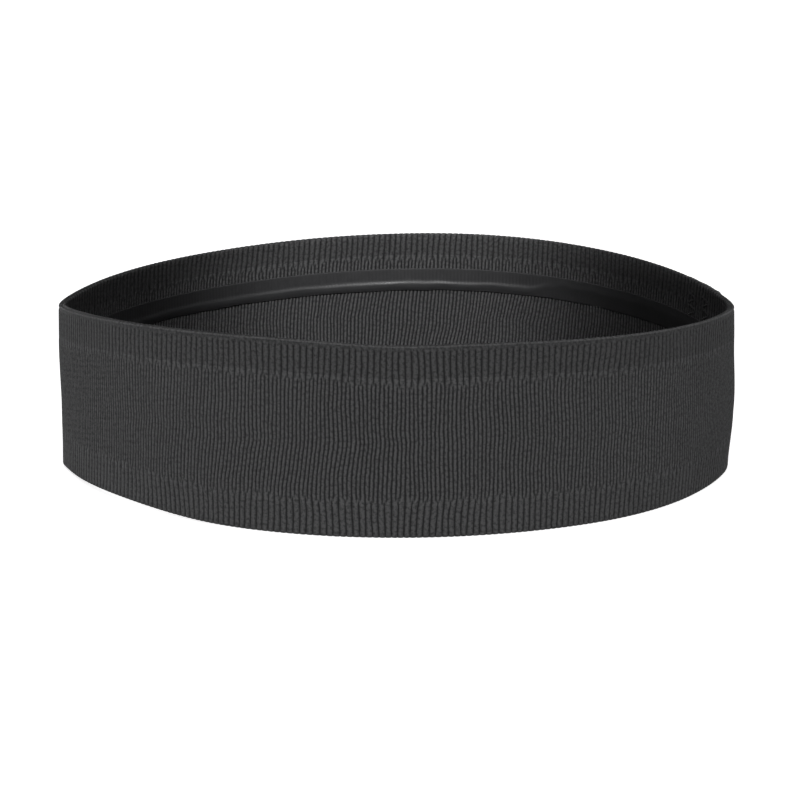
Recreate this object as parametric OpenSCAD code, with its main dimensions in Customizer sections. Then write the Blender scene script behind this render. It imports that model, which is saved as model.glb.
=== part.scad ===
// Sports headband: a loop of ribbed elastic web that stands on its lower edge.
// Origin: centre of the loop on the plane it stands on. +Z up, +X to the right side tip, -Y to the front.

/* [Loop] */
// Width of the loop across its two side tips, outside
loop_w = 148; // [135:1:190]
// Depth of the loop from front to back, outside
loop_d = 122; // [90:1:130]
// Outside radius of the turn at each side tip
tip_r = 20; // [12:0.5:30]
// Height of the band at its front and back
band_h = 40; // [30:0.5:60]
// Drop of the top edge at the side tips
edge_dip = 3.6; // [1:0.1:6]

/* [Web] */
// Thickness of each woven face
face_t = 0.5; // [0.3:0.05:0.8]
// Thickness of the layer of rubber threads between the two faces
core_t = 0.6; // [0.4:0.05:1]
// Height of the selvedge along each edge
selvedge_h = 1.2; // [0.8:0.1:2]

/* [Rubber threads] */
// Width of a flattened rubber thread
rubber_w = 1.1; // [0.6:0.1:1.6]
// Distance from one rubber thread to the next
rubber_pitch = 2.1; // [1.8:0.1:4]

/* [Gripper strip] */
// Width of the silicone strip
strip_w = 5.4; // [3:0.1:8]
// Thickness of the silicone strip
strip_t = 0.8; // [0.4:0.1:1.2]
// Distance from the top edge down to the strip
strip_drop = 8.1; // [6:0.1:14]

/* [Seam] */
// Length of the lapped end of the web
lap_len = 12; // [10:0.5:20]
// Gap along the band from the side tip's turn to the lapped end
lap_gap = 6; // [2:0.5:20]
// Width of a zigzag row of stitches
zigzag_w = 2.6; // [1.5:0.1:4]
// Rise from one turn of the zigzag to the next
zigzag_rise = 1.4; // [1:0.1:3]
// Width of the sewing thread
sewing_w = 0.5; // [0.3:0.05:0.8]
// Thickness of the sewing thread where it lies on the web
sewing_t = 0.3; // [0.2:0.05:0.5]
// Distance from an end of the lap to the middle of the row beside it
row_inset = 3; // [2:0.1:4]

/* [Hidden] */
$fn = 180;

web_t = 2 * face_t + core_t;
half_w = loop_w / 2;
half_d = loop_d / 2;

// The loop's outline is four arcs that run into each other: two tight ones at the side tips,
// and two long ones at the front and back.
tip_x = half_w - tip_r;
long_r = (tip_x * tip_x + half_d * half_d - tip_r * tip_r) / (2 * (half_d - tip_r));
long_y = long_r - half_d;
tip_angle = atan2(long_y, tip_x);
long_sweep = 180 - 2 * tip_angle;

// The turns at the side tips are let into the ends of the long arcs, so that they join into one wall:
// each reaches this many degrees into them, and is this much thinner on each face.
tip_reach = 0.5;
tip_ease = 0.01;
tip_sweep = 2 * (tip_angle + tip_reach);

// Each arc is its centre's x and y, its starting angle, its sweep, its outside radius and its ease.
arcs = [
    [tip_x, 0, -tip_sweep / 2, tip_sweep, tip_r, tip_ease],
    [0, -long_y, tip_angle, long_sweep, long_r, 0],
    [-tip_x, 0, 180 - tip_sweep / 2, tip_sweep, tip_r, tip_ease],
    [0, long_y, 180 + tip_angle, long_sweep, long_r, 0]
];

// The top edge lies on a wide level cylinder, which makes it dip towards both side tips.
dip_r = (half_w * half_w + edge_dip * edge_dip) / (2 * edge_dip);

// Rubber threads stay between the selvedges, below the lowest point of the top edge.
rubber_room = band_h - edge_dip - 2 * selvedge_h;
rubber_count = floor((rubber_room - rubber_w) / rubber_pitch) + 1;
rubber_low = selvedge_h + (rubber_room - rubber_w - (rubber_count - 1) * rubber_pitch) / 2;

// The lapped end lies on the back arc, next to the right side tip.
degrees_per_mm = 180 / (PI * long_r);
lap_start = tip_angle + lap_gap * degrees_per_mm;
lap_sweep = lap_len * degrees_per_mm;
lap_arc = [0, -long_y, lap_start, lap_sweep, long_r, 0];
row_angles = [
    lap_start + row_inset * degrees_per_mm,
    lap_start + lap_sweep - row_inset * degrees_per_mm
];

// One arc of an upright wall, from its outside radius inwards
module wall_arc(arc, inset, thick, low, high) {
    translate([arc[0], arc[1], low])
        rotate([0, 0, arc[2]])
            rotate_extrude(angle = arc[3])
                translate([arc[4] - inset - thick + arc[5], 0])
                    square([thick - 2 * arc[5], high - low]);
}

// A closed wall that follows the loop, its outside face inset from the loop's outline
module loop_wall(inset, thick, low, high) {
    for (arc = arcs)
        wall_arc(arc, inset, thick, low, high);
}

// Everything that lies more than a given distance under the dipping top edge
module below_edge(drop) {
    translate([0, loop_d, band_h - drop - dip_r])
        rotate([90, 0, 0])
            cylinder(r = dip_r, h = 2 * loop_d, $fn = 256);
}

// One arc of a wall that ends a given distance under the dipping top edge
module dipping_arc(arc, inset, thick, low, drop) {
    intersection() {
        wall_arc(arc, inset, thick, low, band_h + edge_dip);
        below_edge(drop);
    }
}

// A strip of wall that follows the dipping top edge
module edge_strip(inset, thick, drop, tall) {
    for (arc = arcs)
        difference() {
            dipping_arc(arc, inset, thick, 0, drop);
            below_edge(drop + tall);
        }
}

// One woven face, from the lower selvedge to the upper one
module woven_face(inset) {
    for (arc = arcs)
        dipping_arc(arc, inset, face_t, selvedge_h, selvedge_h);
}

module outer_web() {
    color("#3b3b3d")
        woven_face(0);
}

module inner_web() {
    color("#333335")
        woven_face(face_t + core_t);
}

module rubber_threads() {
    color("#b9a68c")
        for (i = [0 : rubber_count - 1]) {
            low = rubber_low + i * rubber_pitch;
            loop_wall(face_t, core_t, low, low + rubber_w);
        }
}

module top_selvedge() {
    color("#5a5a5c")
        edge_strip(0, web_t, 0, selvedge_h);
}

module bottom_selvedge() {
    color("#5a5a5c")
        loop_wall(0, web_t, 0, selvedge_h);
}

module gripper_strip() {
    color("#1d1d20")
        edge_strip(web_t, strip_t, strip_drop, strip_w);
}

module seam_lap() {
    color("#3b3b3d")
        dipping_arc(lap_arc, -web_t, web_t, 0, 0);
}

// A flat zigzag that climbs along its second axis, as an outline
module zigzag_outline(turns) {
    left = [for (i = [0 : turns]) [(i % 2 - 0.5) * zigzag_w - sewing_w / 2, i * zigzag_rise]];
    right = [for (i = [turns : -1 : 0]) [(i % 2 - 0.5) * zigzag_w + sewing_w / 2, i * zigzag_rise]];
    polygon(concat(left, right));
}

// One row of stitches on a face of the seam, which lies at a given inset from the loop's outline
module stitch_row(angle, inset) {
    turns = floor((band_h - edge_dip - 4 * selvedge_h) / zigzag_rise);
    intersection() {
        wall_arc(lap_arc, inset, sewing_t, 0, band_h);
        translate([0, -long_y, 2 * selvedge_h])
            rotate([0, 0, angle])
                rotate([90, 0, 90])
                    linear_extrude(2 * long_r)
                        zigzag_outline(turns);
    }
}

module seam_stitches() {
    color("#2a2a2c")
        for (angle = row_angles) {
            stitch_row(angle, -web_t - sewing_t);
            difference() {
                stitch_row(angle, web_t);
                difference() {
                    below_edge(strip_drop);
                    below_edge(strip_drop + strip_w);
                }
            }
        }
}

outer_web();
inner_web();
rubber_threads();
top_selvedge();
bottom_selvedge();
gripper_strip();
seam_lap();
seam_stitches();
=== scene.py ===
import math
import bmesh
import bpy
import numpy as np
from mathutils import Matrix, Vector


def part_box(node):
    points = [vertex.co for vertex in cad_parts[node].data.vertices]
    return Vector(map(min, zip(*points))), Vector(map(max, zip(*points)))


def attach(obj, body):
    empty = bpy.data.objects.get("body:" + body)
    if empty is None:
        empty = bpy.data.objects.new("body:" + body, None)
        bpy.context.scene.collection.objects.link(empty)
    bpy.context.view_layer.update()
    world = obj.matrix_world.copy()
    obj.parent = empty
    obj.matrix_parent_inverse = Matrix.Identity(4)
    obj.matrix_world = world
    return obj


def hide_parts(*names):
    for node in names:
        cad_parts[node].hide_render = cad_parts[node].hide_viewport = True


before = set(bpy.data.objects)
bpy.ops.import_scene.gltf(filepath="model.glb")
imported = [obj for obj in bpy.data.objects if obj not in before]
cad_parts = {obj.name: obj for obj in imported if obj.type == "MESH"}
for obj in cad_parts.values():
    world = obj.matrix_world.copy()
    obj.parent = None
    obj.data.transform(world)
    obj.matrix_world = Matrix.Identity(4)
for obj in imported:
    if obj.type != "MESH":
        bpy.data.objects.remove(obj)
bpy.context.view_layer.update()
mm = 0.001

# The loop's plan is four arcs: a tight turn at each side tip and two long arcs at the front and back.
loop = {
    "bandHeight": 40 * mm,
    "tipRadius": 20 * mm,
    "webThickness": 1.6 * mm,
    "faceThickness": 0.5 * mm,
    "selvedgeHeight": 1.2 * mm,
    "borderHeight": (5.5 * mm, 3.8 * mm),  # outside and inside
    "seamDistance": 17.4 * mm,  # from the right tip along the back to the middle of the seam
    "sideHeight": 32.95 * mm,
    "edgeRise": 8.6 * mm,  # how much higher the top edge is at the front and back
    # slow waves of the slack top edge: turns per loop, cosine and sine in mm
    "edgeWaves": [(1, -0.1, -0.4), (2, 2.0, 0.75), (3, -0.1, 0.0), (4, 0.6, 0.0)],
    "frontSag": (0.75 * mm, -1 * mm, 17 * mm),  # depth, place and reach of a sag at the middle of the front
    "footLift": (1.1 * mm, -59 * mm, 15 * mm),  # the slack foot is off the table at the front left
    "footFlare": (1.3 * mm, 56 * mm, 22 * mm),  # and stands out at the front right
    "footFade": (12 * mm, 10 * mm),  # depth over which the lift and the flare grow, from the tips forward
    "flareTop": 34 * mm,  # height where the flare ends
    "tipTuck": (0.8 * mm, 11 * mm),  # how far and below what height the right tip's foot is tucked in
    "tipBulge": (0.35 * mm, 17 * mm, 7 * mm),  # depth, height and reach of the slight bulge over it
    "tipReach": 20 * mm,
    "bulge": 0.16 * mm,  # of the slack cloth all round
}
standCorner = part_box("bottom_selvedge")[1]
halfWidth, halfDepth = standCorner.x, standCorner.y
tipX = halfWidth - loop["tipRadius"]
longRadius = (tipX**2 + halfDepth**2 - loop["tipRadius"]**2) / (2 * (halfDepth - loop["tipRadius"]))
longY = longRadius - halfDepth
tipAngle = math.atan2(longY, tipX)
# each arc: centre x and y, radius, starting angle, sweep
arcs = [
    (tipX, 0, loop["tipRadius"], 0, tipAngle),
    (0, -longY, longRadius, tipAngle, math.pi - 2 * tipAngle),
    (-tipX, 0, loop["tipRadius"], math.pi - tipAngle, 2 * tipAngle),
    (0, longY, longRadius, math.pi + tipAngle, math.pi - 2 * tipAngle),
    (tipX, 0, loop["tipRadius"], -tipAngle, tipAngle),
]
arcEnds = np.cumsum([0] + [arc[2] * arc[4] for arc in arcs])
loopLength = arcEnds[-1]


def pathAt(around):  # share of the way round from the seam -> place on the outline and outward direction
    distance = (around * loopLength + loop["seamDistance"]) % loopLength
    index = np.clip(np.searchsorted(arcEnds, distance, side="right") - 1, 0, len(arcs) - 1)
    table = np.array(arcs)[index]
    angle = table[..., 3] + (distance - arcEnds[index]) / table[..., 2]
    out = np.stack([np.cos(angle), np.sin(angle)], -1)
    return table[..., :2] + out * table[..., 2:3], out


def softStep(value):
    value = np.clip(value, 0, 1)
    return value * value * (3 - 2 * value)


def hump(place, middle, reach):  # 1 at the middle, and less to both sides
    return np.exp(-((place - middle) / reach) ** 2)


def upShare(height):
    return height / loop["bandHeight"]


def softNoise(around, up, cells, seed):  # smooth noise from -1 to 1 that closes round the loop
    grid = np.random.default_rng(seed).uniform(-1, 1, cells)
    across, rise = (around % 1) * cells[0], np.clip(up, 0, 1) * (cells[1] - 1.001)  # never the last row
    column, row = np.floor(across).astype(int), np.floor(rise).astype(int)
    acrossShare, riseShare = softStep(across - column), softStep(rise - row)
    left, right = column % cells[0], (column + 1) % cells[0]
    low = grid[left, row] * (1 - acrossShare) + grid[right, row] * acrossShare
    high = grid[left, row + 1] * (1 - acrossShare) + grid[right, row + 1] * acrossShare
    return low * (1 - riseShare) + high * riseShare


def topHeight(around):
    place = pathAt(around)[0]
    share = np.abs(place[..., 0]) / halfWidth
    turn = np.arctan2(place[..., 1], place[..., 0])
    height = loop["sideHeight"] + loop["edgeRise"] * (1 - share**3)
    for count, cosine, sine in loop["edgeWaves"]:
        height = height + mm * (cosine * np.cos(count * turn) + sine * np.sin(count * turn))
    sag, middle, reach = loop["frontSag"]
    return height - sag * (hump(place[..., 0], middle, reach) * (place[..., 1] < 0))


def bottomHeight(around):
    place = pathAt(around)[0]
    lift, middle, reach = loop["footLift"]
    near = hump(place[..., 0], middle, reach) * (place[..., 1] < 0)
    return lift * near * softStep(-place[..., 1] / loop["footFade"][0])


def wallShift(around, height):  # how far the whole wall stands out from its path
    place = pathAt(around)[0]
    slack = loop["bulge"] * softNoise(around, upShare(height), (9, 4), 21)
    atTip = hump(place[..., 0], halfWidth, loop["tipReach"])
    tuck, tuckTop = loop["tipTuck"]
    belly, bellyHeight, bellyReach = loop["tipBulge"]
    tipShift = belly * hump(height, bellyHeight, bellyReach) - tuck * softStep((tuckTop - height) / tuckTop)
    flare, middle, reach = loop["footFlare"]
    atRight = hump(place[..., 0], middle, reach) * softStep(-place[..., 1] / loop["footFade"][1])
    return slack + atTip * tipShift + atRight * (flare * (1 - softStep(height / loop["flareTop"])))


ribs = {
    "fineCount": 480,
    "coarseCount": 320,
    "fineDepth": (0.27 * mm, 0.36 * mm),  # outside and inside
    "coarseDepth": 0.28 * mm,
    "fineFullness": 0.78,
    "coarseFullness": 0.50,
    "depthVary": 0.25,
    "mergeHeight": 1.2 * mm,  # height over which three fine ribs become two coarse ones
    "mergeStart": (-0.4, 0.9),  # where that begins, as a share of it, and how raggedly
    "mergePull": (1.1, 0.7),  # columns by which the middle grooves close up, and how much that varies
    "mergeReach": (0.45 * mm, 1.0 * mm),  # of the pull, in the border and in the field
    "lean": (0.035, -0.085),  # sideways run for each metre up, outside and inside
    "leanVary": 0.035,
    # slow, middling and fast wander along the loop
    "wander": (0.52 * mm, 0.15 * mm, 0.06 * mm),
    "kink": (0.24 * mm, 19.6 * mm, 1.6 * mm),  # size, height and reach of a small step near the middle
    "swell": 0.05 * mm,  # broad unevenness of the face
    "skin": 0.02 * mm,  # how far the crests lie under the web's full thickness
}
ribColumns = 6  # of the mesh for each fine rib
columns = ribs["fineCount"] * ribColumns
groupColumns = 3 * ribColumns  # three fine ribs, two coarse ones


def sideways(around, height, side=0):  # how far the ribs wander along the loop, in metres
    up, sideSeed = upShare(height), 50 * side
    slow, middling, fast = ribs["wander"]
    lean = ribs["lean"][side] + ribs["leanVary"] * softNoise(around, 0, (14, 2), 3 + sideSeed)
    wander = lean * (height - loop["bandHeight"] / 2)
    wander = wander + slow * softNoise(around, up, (22, 5), 4 + sideSeed)
    wander = wander + middling * softNoise(around, up, (110, 10), 5 + sideSeed)
    kink, kinkHeight, kinkReach = ribs["kink"]
    kinked = hump(height, kinkHeight, kinkReach) * (0.6 + 0.6 * softNoise(around, 0, (60, 2), 7))
    return wander + kink * kinked + fast * softNoise(around, up, (480, 20), 6 + sideSeed)


def ribShape(column, around, height, low, high, side=0):
    # 1 on a rib's crest and 0 in a groove; low and high are the heights where the borders meet the field
    fine = np.abs(np.sin(np.pi * column * ribs["fineCount"] / columns)) ** ribs["fineFullness"]
    coarse = np.abs(np.sin(np.pi * column * ribs["coarseCount"] / columns)) ** ribs["coarseFullness"]
    inside = np.minimum(height - low, high - height)
    uneven = softNoise(around, upShare(height), (160, 3), 8 + side)
    start, ragged = ribs["mergeStart"]
    mix = softStep(inside / ribs["mergeHeight"] + start + ragged * uneven)
    mix = np.where(inside <= 1e-4 * mm, 0, mix)  # the borders' own ribs are all coarse
    shape = coarse * (1 - mix) + fine * mix
    depth = ribs["coarseDepth"] * (1 - mix) + ribs["fineDepth"][side] * mix
    vary = 1 + ribs["depthVary"] * softNoise(around, upShare(height), (480, 16), 9)
    return shape, depth * vary


def mergeShift(column, height, low, high):  # pulls the two middle grooves of a group together, in columns
    inside = np.minimum(height - low, high - height)
    reach = np.where(inside < 0, *ribs["mergeReach"])
    pull, vary = ribs["mergePull"]
    pull = pull * (1 + vary * softNoise(column / columns, 0, (160, 2), 11))
    return pull * hump(inside, 0, reach) * np.sin(2 * np.pi * column / groupColumns)


def gridMesh(name, across, up):  # a flat grid with a UV map, ready to be wrapped round the loop
    bm = bmesh.new()
    bm.loops.layers.uv.new("loop")
    bmesh.ops.create_grid(bm, x_segments=across, y_segments=up, size=1, calc_uvs=True)
    mesh = bpy.data.meshes.new(name)
    bm.to_mesh(mesh)
    bm.free()
    return mesh


def readGrid(mesh, across, up):  # each vertex's column and row
    flat = np.empty(len(mesh.vertices) * 3)
    mesh.vertices.foreach_get("co", flat)
    flat = flat.reshape(-1, 3)
    column = np.rint((flat[:, 0] + 1) / 2 * across).astype(int)
    row = np.rint((flat[:, 1] + 1) / 2 * up).astype(int)
    return column, row


def setPoints(mesh, points):
    mesh.vertices.foreach_set("co", np.ascontiguousarray(points, dtype=np.float32).ravel())


def wrapped(around, inset, height):  # points that lie inset from the path at given heights
    place, out = pathAt(around)
    return np.column_stack([place - out * inset[:, None], height])


def closeSeams(bm):  # joins the two ends of a grid that has gone all round
    bmesh.ops.remove_doubles(bm, verts=[v for v in bm.verts if v.is_boundary], dist=0.0005 * mm)
    bmesh.ops.recalc_face_normals(bm, faces=bm.faces)


def addPiece(name, mesh):
    piece = bpy.data.objects.new(name, mesh)
    bpy.context.scene.collection.objects.link(piece)
    print(name, len(mesh.vertices), "vertices")
    return piece


def finishShell(name, mesh, points, crest, material, cornerTurn=0.6):
    # crest is how high on a rib each vertex lies, which the cloth reads to paint shade into the grooves;
    # the selvedge and the strip also carry painted light and shade in it
    setPoints(mesh, points)
    corner = np.empty(len(mesh.loops), dtype=np.int32)
    mesh.loops.foreach_get("vertex_index", corner)
    layer = mesh.uv_layers["loop"]
    uv = np.empty(len(mesh.loops) * 2, dtype=np.float32)
    layer.uv.foreach_get("vector", uv)
    uv = uv.reshape(-1, 2)
    uv[:, 1] = upShare(points[:, 2])[corner]
    layer.uv.foreach_set("vector", uv.ravel())
    attribute = mesh.attributes.new("crest", "FLOAT", "POINT")
    attribute.data.foreach_set("value", crest.astype(np.float32))
    bm = bmesh.new()
    bm.from_mesh(mesh)
    closeSeams(bm)
    if bm.calc_volume(signed=True) < 0:
        bmesh.ops.reverse_faces(bm, faces=bm.faces)
    for face in bm.faces:
        face.smooth = True
    for edge in bm.edges:  # the rims of a shell are crisp, its ribs are smooth
        first, second = edge.link_faces[0].normal, edge.link_faces[-1].normal
        edge.smooth = abs(abs(first.z) - abs(second.z)) < cornerTurn
    bm.to_mesh(mesh)
    bm.free()
    mesh.materials.append(material)
    return addPiece(name, mesh)


def levelOf(name, around, side=0):
    top, bottom = topHeight(around), bottomHeight(around)
    edge, border = loop["selvedgeHeight"], loop["borderHeight"][side]
    return {
        "lowBorder": bottom + edge,
        "lowField": bottom + edge + border,
        "highField": top - edge - border,
        "highBorder": top - edge,
    }[name]


def webPiece(name, side, lowName, highName, rows, crowd, material):
    # side is 0 for the outside face and 1 for the inside one; crowd packs the rows towards the zone's ends
    up = rows + 3  # the rows after the last one make the flat back and close the section
    mesh = gridMesh(name, columns, up)
    column, row = readGrid(mesh, columns, up)
    around = column / columns
    share = np.arange(rows + 1) / rows
    share = share - crowd * np.sin(2 * np.pi * share) / (2 * np.pi)
    share = np.concatenate([share, [1, 0, 0]])[row]
    front = np.concatenate([np.ones(rows + 1), [0, 0, 1]])[row]
    low, high = levelOf(lowName, around, side), levelOf(highName, around, side)
    height = low + share * (high - low)
    fieldLow, fieldHigh = levelOf("lowField", around, side), levelOf("highField", around, side)
    shape, depth = ribShape(column, around, height, fieldLow, fieldHigh, side)
    moved = around + mergeShift(column, height, fieldLow, fieldHigh) / columns
    moved = moved + sideways(around, height, side) / loopLength
    swell = ribs["swell"] * softNoise(around, upShare(height), (70, 9), 12 + side)
    relief = depth * (1 - shape) + swell + ribs["skin"]
    inset = np.where(front > 0, relief, loop["faceThickness"])
    if side == 1:
        inset = loop["webThickness"] - inset
    points = wrapped(moved, inset - wallShift(around, height), height)
    return finishShell(name, mesh, points, shape * front, material)


class Wire:  # a node's socket; arithmetic on it adds Math nodes
    def __init__(self, tree, socket=None):
        self.tree, self.socket = tree, socket

    def node(self, kind, settings=None, inputs=None, out=0):
        made = self.tree.nodes.new("ShaderNode" + kind)
        for key, value in (settings or {}).items():
            setattr(made, key, value)
        for key, value in (inputs or {}).items():
            if isinstance(value, Wire):
                self.tree.links.new(value.socket, made.inputs[key])
            else:
                made.inputs[key].default_value = value
        return Wire(self.tree, made.outputs[out])

    def maths(self, operation, *values):
        return self.node("Math", {"operation": operation}, dict(enumerate(values)))

    def __add__(self, other):
        return self.maths("ADD", self, other)

    def __radd__(self, other):
        return self.maths("ADD", other, self)

    def __sub__(self, other):
        return self.maths("SUBTRACT", self, other)

    def __rsub__(self, other):
        return self.maths("SUBTRACT", other, self)

    def __mul__(self, other):
        return self.maths("MULTIPLY", self, other)

    def __rmul__(self, other):
        return self.maths("MULTIPLY", other, self)

    def __truediv__(self, other):
        return self.maths("DIVIDE", self, other)

    def __pow__(self, other):
        return self.maths("POWER", self, other)

    def __mod__(self, other):
        return self.maths("FLOORED_MODULO", self, other)

    def wave(self):  # a sine of this value, in turns
        return self.maths("SINE", self * (2 * math.pi))

    def whole(self):
        return self.maths("FLOOR", self)

    def step(self, low, high):  # 0 below low, 1 above high
        return self.node("MapRange", {"interpolation_type": "SMOOTHSTEP"},
                         {"Value": self, "From Min": low, "From Max": high})

    def noise(self, scale, detail=2.0, rough=0.5):  # noise over this place
        return self.node("TexNoise", {}, {
            "Vector": self, "Scale": scale, "Detail": detail, "Roughness": rough})

    def part(self, axis):  # 0, 1 or 2 for x, y or z of this vector
        return self.node("SeparateXYZ", {}, {0: self}, out=axis)

    def bump(self, distance, strength):  # a normal from this height
        return self.node("Bump", {}, {"Height": self, "Distance": distance, "Strength": strength})

    def tint(self, dark, light):  # a colour between two, by this value
        return self.node("Mix", {"data_type": "RGBA"}, {0: self, 6: (*dark, 1), 7: (*light, 1)}, out=2)


def newMaterial(name, constants):  # the material, a wire to start from and a way to feed the shader
    material = bpy.data.materials.new(name)
    material.use_nodes = True
    tree = material.node_tree
    shader = tree.nodes["Principled BSDF"]
    for key, value in constants.items():
        shader.inputs[key].default_value = value
    start = Wire(tree)

    def feed(inputs):
        for key, value in inputs.items():
            tree.links.new(value.socket, shader.inputs[key])

    return material, start, feed


cloth = {
    # the groove colour is painted shade in the rib grooves
    "groove": (0.0080, 0.0081, 0.0085),
    "crest": (0.0700, 0.0702, 0.0715),
    "pickPitch": 1.25,  # in mm
    "flecks": 760,  # flecks of yarn round the loop
    "fleckHeight": 0.62,  # in mm
    "fuzz": 0.04 * mm,
}


def ribCloth(name, ribCount, lift=1.0, contrast=1.25):
    # ribCount ribs round the loop; the map runs once round, and once up the band's height
    # lift makes the crests paler, and contrast darkens the flanks of the ribs, which paints shade into the
    # grooves
    material, start, feed = newMaterial(name, {
        "Specular IOR Level": 0.25, "Sheen Weight": 0.12, "Sheen Roughness": 0.5,
        "Sheen Tint": (0.6, 0.6, 0.62, 1)})
    uv = start.node("UVMap", {"uv_map": "loop"})
    around = uv.part(0)
    upMm = uv.part(1) * (loop["bandHeight"] / mm)
    crest = start.node("Attribute", {"attribute_name": "crest"}, out=2)
    place = start.node("TexCoord", out=3)
    ribNumber = around * ribCount
    stagger = (ribNumber.whole() * 0.37) % 1
    picks = (upMm / cloth["pickPitch"] + stagger + ribNumber * 0.5).wave()
    cell = start.node("CombineXYZ", {}, {0: around * cloth["flecks"], 1: upMm / cloth["fleckHeight"]})
    yarn = cell.noise(1.0, 2.0, 0.6)
    broad = place.noise(90.0, 3.0, 0.55)
    fibre = place.noise(5200.0, 2.0, 0.7)
    spots = start.node("TexVoronoi", {"feature": "F1"}, {"Vector": cell, "Scale": 0.8, "Randomness": 0.9})
    # hole marks small spots where the colour is darkened as painted shade in the weave's holes; the bump
    # dents them as well
    hole = 1 - spots.step(0.10, 0.26)
    fleck = yarn.step(0.30, 0.70)
    # the colour runs from the groove colour to the crest colour by crest, as painted shade in the grooves
    light = (crest ** contrast) * (0.50 + 0.88 * fleck + 0.10 * picks + 0.20 * (broad - 0.5))
    light = light * (1 - 0.45 * hole) + (fibre - 0.5) * 0.12
    palest = [share * lift for share in cloth["crest"]]
    relief = crest * 0.3 + 0.35 * yarn + 0.14 * picks + 0.30 * fibre - 0.5 * hole
    feed({"Base Color": light.tint(cloth["groove"], palest),
          "Roughness": 0.92 - 0.16 * crest + 0.12 * (fibre - 0.5),
          "Normal": relief.bump(cloth["fuzz"], 0.8)})
    return material


# the copies differ only in lift and contrast, which paint light and shade: the upper borders darker than
# the lower ones, the inside's grooves darker than the outside's, the selvedge paler
fineCloth = (ribCloth("fineRibCloth", ribs["fineCount"], lift=1.12, contrast=1.55),
             ribCloth("innerRibCloth", ribs["fineCount"], lift=1.22, contrast=2.0))
coarseCloth = ribCloth("coarseRibCloth", ribs["coarseCount"], lift=1.01, contrast=1.5)
upperCloth = ribCloth("upperRibCloth", ribs["coarseCount"], lift=0.84, contrast=1.5)
edgeCloth = ribCloth("selvedgeCloth", ribs["coarseCount"], lift=1.25)
print("materials made")

# each zone: name, where it starts and ends, rows, how the rows crowd, cloth outside and inside
zones = [("LowerBorder", "lowBorder", "lowField", 11, 0.2, (coarseCloth, coarseCloth)),
         ("Field", "lowField", "highField", 28, 0.72, fineCloth),
         ("UpperBorder", "highField", "highBorder", 11, 0.2, (upperCloth, upperCloth))]
web = {}
for side, sideName in enumerate(("outer", "inner")):
    for zone, lowName, highName, rows, crowd, cloths in zones:
        web[sideName + zone] = webPiece(sideName + zone, side, lowName, highName, rows, crowd, cloths[side])

selvedge = {
    "roll": 0.34 * mm,  # height of the rolled lip
    "neck": 0.13 * mm,  # how far the wall draws in under the lip on the outside
    "scallop": 0.11 * mm,
    # the ribs in the selvedge are made darker than the border's, as painted shade along the rims
    "ribPaleness": 0.74,  # of the ribs that reach into the selvedge
}


def selvedgeSection(upper):
    # the section runs up the outside, over the lip, down the inside and back; each point is its inset, its
    # height above the border, how much of the ribs it shows and how pale it is between them. That paleness
    # is painted light and shade: a painted highlight on the lip's outer shoulder, painted shade on the neck
    # below it and, darker, over the lip's top and down the inside.
    thick, tall = loop["webThickness"], loop["selvedgeHeight"]
    roll, neck = selvedge["roll"], selvedge["neck"]
    if upper:
        palest = 0.85
        outside = [
            (0, 0, 1, 0.5),
            (0.3 * neck, 0.12 * tall, 0.5, 0.5),
            (0.7 * neck, 0.25 * tall, 0.25, 0.5),
            (neck, 0.5 * tall, 0.18, 0.5),
            (neck, tall - roll - 0.06 * mm, 0.15, 0.55),
            (0.3 * neck, tall - roll * 0.62, 0.15, 1.0),
        ]
    else:
        palest = 0.6
        outside = [
            (0, 0, 1, 0.5),
            (0, 0.3 * tall, 1, 0.5),
            (0, 0.6 * tall, 0.9, 0.5),
            (0.02 * mm, tall - roll, 0.6, 0.5),
            (0.04 * mm, tall - roll * 0.4, 0.35, 0.5),
        ]
    lip = [
        (0.10 * mm, tall - 0.10 * mm, 0.15, palest),
        (0.28 * mm, tall - 0.02 * mm, 0.1, palest),
        (0.5 * mm, tall, 0.1, 0.34),
        (0.8 * mm, tall, 0.1, 0.26),
        (1.1 * mm, tall, 0.2, 0.22),
        (1.34 * mm, tall - 0.02 * mm, 0.5, 0.22),
        (1.52 * mm, tall - 0.11 * mm, 0.8, 0.22),
    ]
    inside = [
        (thick, tall - roll, 0.9, 0.3),
        (thick, 0.55 * tall, 1, 0.3),
        (thick, 0.25 * tall, 1, 0.3),
        (thick, 0, 1, 0.3),
    ]
    return np.array(outside + lip + inside + outside[:1])


def selvedgePiece(name, upper):
    tall, roll = loop["selvedgeHeight"], selvedge["roll"]
    section = selvedgeSection(upper)
    up = len(section) - 1
    mesh = gridMesh(name, columns, up)
    column, row = readGrid(mesh, columns, up)
    around = column / columns
    inset, rise, weight, pale = section[row].T
    fieldLow, fieldHigh = levelOf("lowField", around), levelOf("highField", around)
    if upper:
        height = levelOf("highBorder", around) + rise
        ribHeight = fieldHigh + 4 * mm  # well inside the border, where the ribs are coarse
    else:
        height = levelOf("lowBorder", around) - rise
        ribHeight = fieldLow - 4 * mm
    shape, depth = ribShape(column, around, ribHeight, fieldLow, fieldHigh)
    crown = softStep((rise - (tall - roll)) / roll)
    scallop = selvedge["scallop"] * (1 - shape) * crown
    inner = inset > loop["webThickness"] / 2
    moved = around + np.where(inner, sideways(around, height, 1), sideways(around, height, 0)) / loopLength
    height = height - scallop if upper else height + scallop
    swell = ribs["swell"] * softNoise(around, upShare(height), (70, 9), 12) * (1 - crown)
    relief = (depth * (1 - shape) + ribs["skin"]) * weight + swell
    inset = np.where(inner, inset - relief, inset + relief) - wallShift(around, height)
    # crest here mixes the ribs with the painted light and shade of the section's paleness
    crest = selvedge["ribPaleness"] * shape * weight + (1 - weight) * pale
    return finishShell(name, mesh, wrapped(moved, inset, height), crest, edgeCloth, cornerTurn=0.95)


topSelvedge = selvedgePiece("topSelvedge", True)
bottomSelvedge = selvedgePiece("bottomSelvedge", False)

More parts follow.
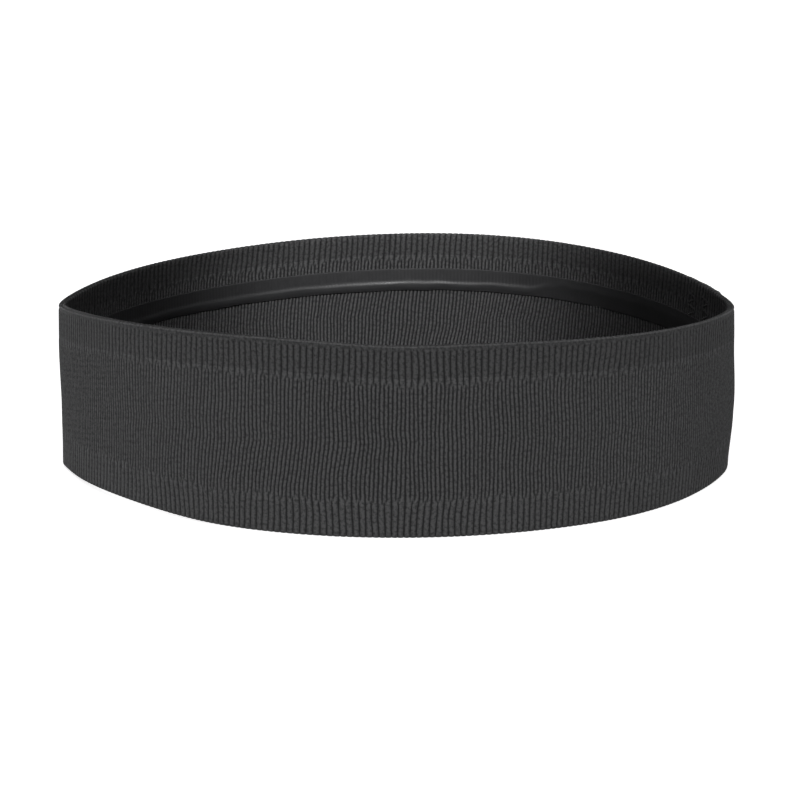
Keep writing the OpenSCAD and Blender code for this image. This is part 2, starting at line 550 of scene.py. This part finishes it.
strip = {
    "drop": 8.3 * mm,
    "width": 5.4 * mm,
    "film": 0.03 * mm,
    "root": 0.25 * mm,  # how deep its back lies in the cloth
    "ridge": 0.26 * mm,
    "ridgeAt": (0.69, 0.36),  # before and after it jumps, from the strip's upper edge down
    "ridgeWidth": (0.09, 0.30),  # above and below its top, as shares of the strip's width
    "jump": (31 * mm, 9 * mm),  # where the ridge jumps at the back right, and over what length
    "ridgeWander": (0.03, 0.05),
    "ridgeVary": (0.2, 0.10),  # of its width and its height
    "edgeFall": (0.10, 0.16),  # share of the width over which it thins out to its upper and lower edge
    "showThrough": 0.035 * mm,  # how much of the ribs shows in its flat part
    "wobble": 0.10 * mm,  # of its lower edge
    "creaseWidth": 0.09,  # share of the width along both edges where the colour is darkened as painted shade, and which is rougher and without coat
    "rows": 24,
}


def siliconeMaterial():
    material, start, feed = newMaterial("silicone", {
        "Specular IOR Level": 0.5, "Coat Roughness": 0.22, "Coat IOR": 1.45})
    place = start.node("TexCoord", out=3)
    around = start.node("UVMap", {"uv_map": "loop"}).part(0)
    ridge = start.node("Attribute", {"attribute_name": "crest"}, out=2)
    dust = place.noise(900.0, 4.0, 0.7)
    smear = place.noise(160.0, 2.0, 0.5)
    lines = (around * ribs["fineCount"]).wave() * (1 - ridge.step(0.2, 0.7))  # ribs that show through
    # crease darkens the colour along the strip's edges as painted shade, and makes them rougher and without
    # coat
    crease = 1 - ridge.step(-0.9, -0.1)
    shade = (0.35 * dust + 0.4 * smear + 0.10 * lines) * (1 - 0.6 * crease)
    feed({"Base Color": shade.tint((0.020, 0.020, 0.021), (0.042, 0.042, 0.044)),
          "Roughness": 0.42 + 0.2 * dust + 0.3 * crease,
          "Coat Weight": (0.08 + 0.15 * smear) * (1 - crease),
          "Normal": (smear + 0.25 * dust + 0.05 * lines).bump(0.03 * mm, 0.5)})
    return material


def gripperPiece():
    rows = strip["rows"]
    up = rows + 2
    mesh = gridMesh("gripperStrip", columns, up)
    column, row = readGrid(mesh, columns, up)
    around = column / columns
    place = pathAt(around)[0]
    share = np.concatenate([np.arange(rows + 1) / rows, [0.5, 0]])[row]  # from the strip's upper edge down
    front = np.concatenate([np.ones(rows + 1), [0, 1]])[row]
    jumpAt, jumpLength = strip["jump"]
    jump = softStep((place[:, 0] - jumpAt) / jumpLength) * (place[:, 1] > 0)
    first, second = strip["ridgeAt"]
    wander, secondWander = strip["ridgeWander"]
    at = (first + wander * softNoise(around, 0, (60, 2), 31)) * (1 - jump)
    at = at + (second + secondWander * softNoise(around, 0, (160, 2), 35)) * jump
    above, below = strip["ridgeWidth"]
    widthVary, heightVary = strip["ridgeVary"]
    wide = np.where(share < at, above + 0.10 * jump, below)  # wider and half as high past the jump
    wide = wide * (1 + widthVary * softNoise(around, 0, (90, 2), 32))
    bump = hump(share, at, wide)
    upperFall, lowerFall = strip["edgeFall"]
    endFall = softStep(share / upperFall) * softStep((1 - share) / lowerFall)
    uneven = (1 - 0.5 * jump) * (1 + heightVary * softNoise(around, 0, (140, 2), 33))
    rise = (strip["film"] + strip["ridge"] * bump * uneven) * endFall
    middle = loop["bandHeight"] / 2
    shape = ribShape(column, around, around * 0 + middle, 0, loop["bandHeight"])[0]
    showing = (1 - shape) * strip["showThrough"] * (1 - bump) * endFall
    wobble = strip["wobble"] * softNoise(around, 0, (110, 2), 34)
    height = topHeight(around) - strip["drop"] - share * (strip["width"] + wobble)
    inset = loop["webThickness"] + np.where(front > 0, rise - showing, -strip["root"])
    points = wrapped(around, inset - wallShift(around, height), height)
    # the crease along both edges goes to the silicone as negative crest, for its painted shade
    creased = strip["creaseWidth"]
    crease = 1 - softStep(share / creased) * softStep((1 - share) / creased)
    return finishShell("gripperStrip", mesh, points, bump * endFall - crease, siliconeMaterial())


gripperStrip = gripperPiece()

seam = {
    "lapLength": 12 * mm,
    "lapColumns": 96,
    "lapRows": 64,
    "lapGap": (0.25 * mm, 0.15 * mm),  # left free at its foot and its top
    "lapRoot": 0.12 * mm,  # how deep its back lies in the cloth under it
    "lapRise": (0.12, 0.84),  # of its face at the edges and what is added further in, in web thicknesses
    "lapSquareness": (14, 40),  # how sharply it rises at its side edges and at its ends
    "lapLean": 0.3,  # how much of the ribs' wander it follows
    "rowInset": 3 * mm,
    "pinch": (0.22 * mm, 1.5 * mm),  # depth and reach of the dent along a row of stitches
    "zigzagWidth": 2.6 * mm,
    "zigzagRise": 1.4 * mm,
    "threadRadius": 0.2 * mm,
    "threadDip": 0.34 * mm,  # how deep the thread goes in at each turn
    "threadLift": 0.6,  # how far its middle lies over the lap's dented face, in radii
    "threadSink": 0.45,  # how far its middle lies under the inner face, in radii
    "rowDent": 0.10 * mm,
    "threadSteps": 6,  # points from one turn to the next
    "rowEnds": (2.4 * mm, 1.2 * mm),  # from the table and from the upper border
    "stripGap": 0.3 * mm,
}
stitchRows = (seam["rowInset"], seam["lapLength"] - seam["rowInset"])


def lapPiece(material):
    # the end of the web, laid over its start and stitched down, as one thick ribbed patch
    across, rows = seam["lapColumns"], seam["lapRows"]
    up = rows + 3
    mesh = gridMesh("seamLap", across, up)
    column, row = readGrid(mesh, across, up)
    ease = column / across
    share = np.concatenate([np.arange(rows + 1) / rows, [1, 0, 0]])[row]
    front = np.concatenate([np.ones(rows + 1), [0, 0, 1]])[row]
    around = (ease - 0.5) * seam["lapLength"] / loopLength
    footGap, topGap = seam["lapGap"]
    low, high = bottomHeight(around) + footGap, topHeight(around) - topGap
    height = low + share * (high - low)
    fieldLow, fieldHigh = levelOf("lowField", around), levelOf("highField", around)
    shape, depth = ribShape(around * columns, around, height, fieldLow, fieldHigh)
    sidePower, endPower = seam["lapSquareness"]
    sideRound = np.sqrt(np.clip(1 - (np.abs(ease - 0.5) * 2) ** sidePower, 0, 1))
    endRound = np.sqrt(np.clip(1 - (np.abs(share - 0.5) * 2) ** endPower, 0, 1))
    edgeRise, fullRise = seam["lapRise"]
    outside = loop["webThickness"] * (edgeRise + fullRise * sideRound * endRound) - depth * (1 - shape)
    pinch, reach = seam["pinch"]
    for rowAt in stitchRows:
        outside = outside - pinch * hump(ease * seam["lapLength"], rowAt, reach)
    inset = np.where(front > 0, -outside, seam["lapRoot"]) - wallShift(around, height)
    moved = around + sideways(around, height) / loopLength * seam["lapLean"]
    points = wrapped(moved, inset, height)
    piece = finishShell("seamLap", mesh, points, shape * front, material)
    bm = bmesh.new()
    bm.from_mesh(piece.data)
    bmesh.ops.holes_fill(bm, edges=[e for e in bm.edges if e.is_boundary])
    bmesh.ops.recalc_face_normals(bm, faces=bm.faces)
    bm.to_mesh(piece.data)
    bm.free()
    return piece


def threadMaterial():
    material, start, feed = newMaterial("sewingThread", {"Specular IOR Level": 0.4, "Sheen Weight": 0.1})
    place = start.node("TexCoord", out=3)
    twist = start.node("TexWave", {"wave_type": "BANDS", "bands_direction": "DIAGONAL"},
                       {"Vector": place, "Scale": 900.0, "Distortion": 1.5, "Detail": 1.0})
    fibre = place.noise(4000.0, 2.0, 0.6)
    value = 0.6 * start.node("RGBToBW", {}, {0: twist}) + 0.4 * fibre
    feed({"Base Color": value.tint((0.014, 0.014, 0.015), (0.040, 0.040, 0.042)),
          "Roughness": 0.5 + 0.3 * fibre,
          "Normal": value.bump(0.03 * mm, 0.7)})
    return material


def stitchRun(curve, rowAt, low, high, inner):  # one zigzag run of thread, on the lap or inside the loop
    steps, radius = seam["threadSteps"], seam["threadRadius"]
    points = []
    for step in range(int((high - low) / seam["zigzagRise"]) * steps + 1):
        turn = step / steps
        swing = abs(turn % 2 - 1) * 2 - 1
        across = math.sin(swing * math.pi / 2 * 0.98) * seam["zigzagWidth"] / 2
        dip = abs(swing) ** 6 * seam["threadDip"]
        around = np.array((rowAt - seam["lapLength"] / 2 + across) / loopLength)
        height = low + turn * seam["zigzagRise"]
        if inner:
            inset = loop["webThickness"] - seam["threadSink"] * radius - dip
        else:
            lapFace = loop["webThickness"] * sum(seam["lapRise"]) - seam["rowDent"]
            inset = dip - lapFace - seam["threadLift"] * radius
        place, out = pathAt(around)
        points.append((*(place - out * (inset - wallShift(around, height))), height))
    spline = curve.splines.new("POLY")
    spline.points.add(len(points) - 1)
    for point, at in zip(spline.points, points):
        point.co = (*at, 1)


def stitchPiece():
    curve = bpy.data.curves.new("seamStitches", "CURVE")
    curve.dimensions = "3D"
    curve.bevel_depth = seam["threadRadius"]
    curve.bevel_resolution = 2
    curve.use_fill_caps = True
    atSeam = np.array(0.0)
    low = seam["rowEnds"][0]
    high = float(levelOf("highBorder", atSeam)) - seam["rowEnds"][1]
    stripHigh = float(topHeight(atSeam)) - strip["drop"] + seam["stripGap"]
    stripLow = float(topHeight(atSeam)) - strip["drop"] - strip["width"] - seam["stripGap"]
    for rowAt in stitchRows:
        stitchRun(curve, rowAt, low, high, False)
        stitchRun(curve, rowAt, low, stripLow, True)  # the inner rows leave the strip out
        stitchRun(curve, rowAt, stripHigh, high, True)
    holder = bpy.data.objects.new("stitchCurve", curve)
    bpy.context.scene.collection.objects.link(holder)
    bpy.context.view_layer.update()
    mesh = bpy.data.meshes.new_from_object(holder.evaluated_get(bpy.context.evaluated_depsgraph_get()))
    bpy.data.objects.remove(holder)
    mesh.name = "seamStitches"
    for polygon in mesh.polygons:
        polygon.use_smooth = True
    mesh.materials.clear()
    mesh.materials.append(threadMaterial())
    return addPiece("seamStitches", mesh)


seamLap = lapPiece(fineCloth[0])
seamStitches = stitchPiece()

rubber = {
    "low": 1.9 * mm,
    "pitch": 2.1 * mm,
    "width": 1.1 * mm,
    "halfThickness": 0.24 * mm,
    "room": 36.5 * mm,  # height between the selvedges that the threads need
    "count": 16,
    "columns": 360,
    "sides": 8,
}


def rubberMaterial():
    material, start, feed = newMaterial("rubber", {"Specular IOR Level": 0.35})
    place = start.node("TexCoord", out=3)
    talc = place.noise(1400.0, 4.0, 0.65)
    cut = place.noise(260.0, 2.0, 0.5)
    feed({"Base Color": (0.6 * talc + 0.4 * cut).tint((0.30, 0.24, 0.17), (0.50, 0.43, 0.33)),
          "Roughness": 0.62 + 0.25 * talc,
          "Normal": talc.bump(0.03 * mm, 0.5)})
    return material


def rubberPiece():
    # each ring is a flat thread with rounded edges, drawn between the faces
    half, sides = rubber["width"] / 2, rubber["sides"]
    turns = np.linspace(0, 2 * math.pi, sides + 1)
    blunt = np.where(np.abs(np.cos(turns)) > 0.3, 1, 0.8)
    section = np.column_stack([rubber["halfThickness"] * np.cos(turns) * blunt, half * np.sin(turns)])
    rings = bmesh.new()
    for count in range(rubber["count"]):
        mesh = gridMesh("ring", rubber["columns"], sides)
        column, row = readGrid(mesh, rubber["columns"], sides)
        around = column / rubber["columns"]
        low, high = levelOf("lowBorder", around), levelOf("highBorder", around)
        level = rubber["low"] + count * rubber["pitch"] + half - loop["selvedgeHeight"]
        height = low + level * np.minimum((high - low) / rubber["room"], 1) + section[row, 1]
        inset = loop["webThickness"] / 2 + section[row, 0] - wallShift(around, height)
        setPoints(mesh, wrapped(around, inset, height))
        rings.from_mesh(mesh)
        bpy.data.meshes.remove(mesh)
    closeSeams(rings)
    for face in rings.faces:
        face.smooth = True
    mesh = bpy.data.meshes.new("rubberThreads")
    rings.to_mesh(mesh)
    rings.free()
    mesh.materials.append(rubberMaterial())
    return addPiece("rubberThreads", mesh)


rubberThreads = rubberPiece()


def standsFor(piece, node):
    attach(piece, "root")
    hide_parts(node)


for side, sideName in enumerate(("outer", "inner")):
    parts = [web[sideName + zone] for zone in ("Field", "LowerBorder", "UpperBorder")]
    for piece in parts:
        standsFor(piece, sideName + "_web")
standsFor(topSelvedge, "top_selvedge")
standsFor(bottomSelvedge, "bottom_selvedge")
standsFor(gripperStrip, "gripper_strip")
standsFor(seamLap, "seam_lap")
standsFor(seamStitches, "seam_stitches")
standsFor(rubberThreads, "rubber_threads")
print("pieces declared")

stage = {
    "floorSize": 12.0,
    "floor": {"Base Color": (0.93, 0.93, 0.93, 1), "Roughness": 0.9, "Specular IOR Level": 0.1,
              "Emission Color": (1, 1, 1, 1), "Emission Strength": 0.85},
    "backdrop": {"Color": (1, 1, 1, 1), "Strength": 1.0},
}


def floorPiece():  # seen by the camera only, so that it throws no light back on the cloth
    bm = bmesh.new()
    bmesh.ops.create_grid(bm, x_segments=1, y_segments=1, size=stage["floorSize"])
    mesh = bpy.data.meshes.new("floor")
    bm.to_mesh(mesh)
    bm.free()
    mesh.materials.append(newMaterial("floorWhite", stage["floor"])[0])
    floor = addPiece("floor", mesh)
    floor.visible_diffuse = False
    floor.visible_glossy = False
    floor.visible_shadow = False
    return floor


def studioWorld():
    world = bpy.data.worlds.new("studio")
    world.use_nodes = True
    for key, value in stage["backdrop"].items():
        world.node_tree.nodes["Background"].inputs[key].default_value = value
    world.cycles_visibility.diffuse = False
    world.cycles_visibility.glossy = False
    return world


floorPiece()
bpy.context.scene.world = studioWorld()


def aimLamp(name, kind, direction, elevation, distance, power, aim):
    # direction is the turn in degrees from the front, and elevation the degrees above the floor
    data = bpy.data.lights.new(name, kind)
    data.energy = power
    lamp = bpy.data.objects.new(name, data)
    turn, rise = math.radians(direction), math.radians(elevation)
    toLamp = Vector((math.sin(turn) * math.cos(rise), -math.cos(turn) * math.cos(rise), math.sin(rise)))
    where = toLamp * distance
    lamp.location = where + Vector(aim)
    lamp.rotation_euler = (-where).to_track_quat("-Z", "Y").to_euler()
    lamp.visible_camera = False
    bpy.context.scene.collection.objects.link(lamp)
    return data


# name: direction, elevation, distance, width and height, power; the low boxes reach under the clear table
softBoxes = {
    "frontBox": (-3, -1, 1.3, (1.5, 0.16), 11.4),
    "leftBox": (-102, -1, 1.2, (1.3, 0.12), 5.2),
    "rightBox": (106, -1, 1.2, (1.3, 0.12), 3.0),
    "backBox": (180, -1, 1.3, (1.5, 0.16), 11.0),
    "fillBox": (0, 38, 1.4, (0.9, 0.5), 4.4),
    "topBox": (0, 84, 1.4, (0.8, 0.8), 5.0),
    "behindBox": (180, 38, 1.4, (0.9, 0.5), 3.0),
}
boxAim = (0, 0, 20 * mm)
for name, (direction, elevation, distance, size, power) in softBoxes.items():
    lamp = aimLamp(name, "AREA", direction, elevation, distance, power, boxAim)
    lamp.shape = "RECTANGLE"
    lamp.size, lamp.size_y = size

# a narrow lamp that lights the inside of the back
snoot = {
    "direction": -1, "elevation": 42, "distance": 1.0, "power": 38.0, "aim": (-0.001, 0.059, 0.026),
    "width": 6.1, "softness": 0.75, "radius": 0.016,
}
lamp = aimLamp("insideSnoot", "SPOT", snoot["direction"], snoot["elevation"], snoot["distance"],
               snoot["power"], snoot["aim"])
lamp.spot_size = math.radians(snoot["width"])
lamp.spot_blend = snoot["softness"]
lamp.shadow_soft_size = snoot["radius"]

view = {
    "lens": 136.0,
    "sensor": 36.0,
    "distance": 666 * mm,
    "tilt": 13.5,  # degrees down
    "aim": (0, 0, 17.9 * mm),
    "shift": (0.0042, -0.0225),
    "clip": (0.01, 50),
}
cameraData = bpy.data.cameras.new("camera")
cameraData.lens = view["lens"]
cameraData.sensor_width = view["sensor"]
cameraData.shift_x, cameraData.shift_y = view["shift"]
cameraData.clip_start, cameraData.clip_end = view["clip"]
camera = bpy.data.objects.new("camera", cameraData)
tilt = math.radians(view["tilt"])
camera.location = Vector(view["aim"]) + Vector((0, -math.cos(tilt), math.sin(tilt))) * view["distance"]
camera.rotation_euler = (math.pi / 2 - tilt, 0, 0)
bpy.context.scene.collection.objects.link(camera)
bpy.context.scene.camera = camera
bpy.context.scene.view_settings.view_transform = "Standard"
print("stage, lamps and camera set")

print("scene ready")
